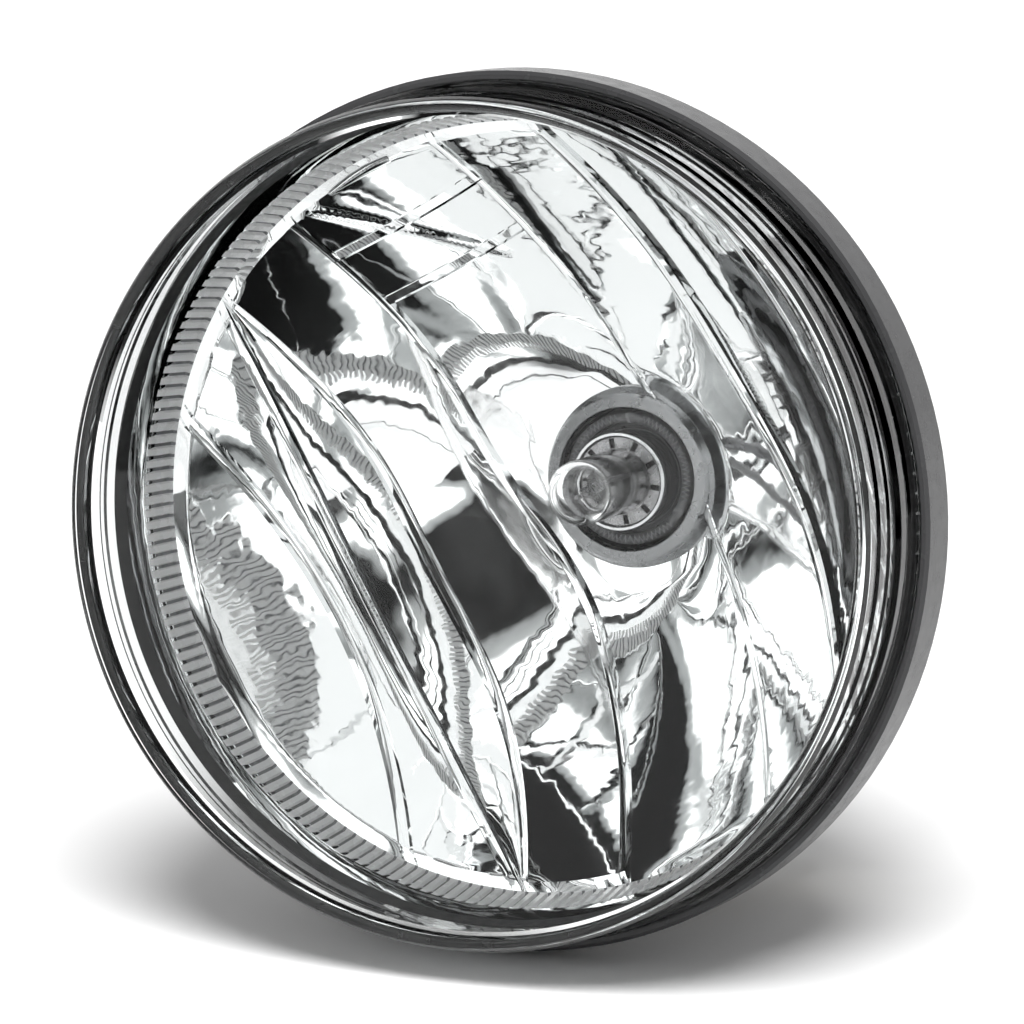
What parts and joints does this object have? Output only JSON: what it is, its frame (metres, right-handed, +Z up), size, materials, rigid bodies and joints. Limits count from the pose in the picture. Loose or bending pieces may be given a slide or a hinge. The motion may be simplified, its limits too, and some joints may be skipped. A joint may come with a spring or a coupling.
{
  "type": "fog light",
  "caption": "Round vehicle fog light with a clear lens cap, strip-facetted chrome reflector, capsule bulb, and a tilting rear bracket with a screw adjuster.",
  "frame": {"origin": "centre of the bracket's four bolt holes, in its rear mounting face, on the optical axis", "axes": "Y is the optical axis and +Y points to the rear, so the lamp shines towards -Y; +Z is up as fitted; +X is on the right of someone facing the lens"},
  "size_m": [0.1208, 0.1005, 0.1208],
  "materials": {
    "clear_glass": "polished clear",
    "black_rubber": "matt black",
    "reflector_chrome": "vacuum metallised mirror",
    "zinc_steel": "bright zinc plate",
    "black_housing": "glossy moulded, dark grey",
    "vent_cloth": "sintered membrane",
    "brass_insert": "turned",
    "black_bracket": "moulded glass-filled nylon",
    "natural_nylon": "natural moulded nylon",
    "tungsten": "drawn wire",
    "bulb_metal": "bright nickel plate",
    "grey_base": "moulded, dark grey",
    "seal_rubber": "silicone rubber"
  },
  "bodies": {
    "bracket": {"mounting_bracket": "black_bracket", "compression_sleeves": "zinc_steel", "pivot_bushes": "natural_nylon", "pivot_washers": "natural_nylon", "aim_washer": "zinc_steel"},
    "lamp": {"lens": "clear_glass", "lens_gasket": "black_rubber", "lens_adhesive": "black_rubber", "reflector": "reflector_chrome", "reflector_screws": "zinc_steel", "rear_housing": "black_housing", "vent_cap": "black_rubber", "vent_membrane": "vent_cloth", "pivot_inserts": "brass_insert", "pivot_screws": "zinc_steel"},
    "adjuster": {"aim_screw": "zinc_steel", "aim_clip": "zinc_steel", "aim_knob": "natural_nylon"},
    "nut": {"aim_nut": "brass_insert"},
    "bulb": {"bulb_glass": "clear_glass", "bulb_filament": "tungsten", "bulb_supports": "tungsten", "bulb_stem": "clear_glass", "bulb_disc": "bulb_metal", "bulb_cup": "bulb_metal", "bulb_base": "grey_base", "bulb_seal": "seal_rubber", "bulb_terminals": "bulb_metal", "connector_seal": "seal_rubber"}
  },
  "joints": [
    {"name": "aim_tilt", "type": "hinge", "parent": "bracket", "child": "lamp", "pos_m": [0, -0.01152, 0], "axis": [1, 0, 0], "range_deg": [-2.2, 2.2]},
    {"name": "aim_screw_turn", "type": "hinge", "parent": "bracket", "child": "adjuster", "pos_m": [0, 0, -0.04997], "axis": [0, 1, 0], "range_deg": [-346.5, 346.5]},
    {"name": "aim_nut_swivel", "type": "hinge", "parent": "lamp", "child": "nut", "pos_m": [0, -0.01152, -0.04997], "axis": [1, 0, 0], "range_deg": [-2.3, 2.3]},
    {"name": "bulb_twist", "type": "hinge", "parent": "lamp", "child": "bulb", "pos_m": [0, 0.01378, 0], "axis": [0, 1, 0], "range_deg": [0, 40]}
  ],
  "couplings": [
    {"joint": "aim_screw_turn", "follows": "aim_tilt", "ratio": -157},
    {"joint": "aim_nut_swivel", "follows": "aim_tilt", "ratio": -1}
  ]
}
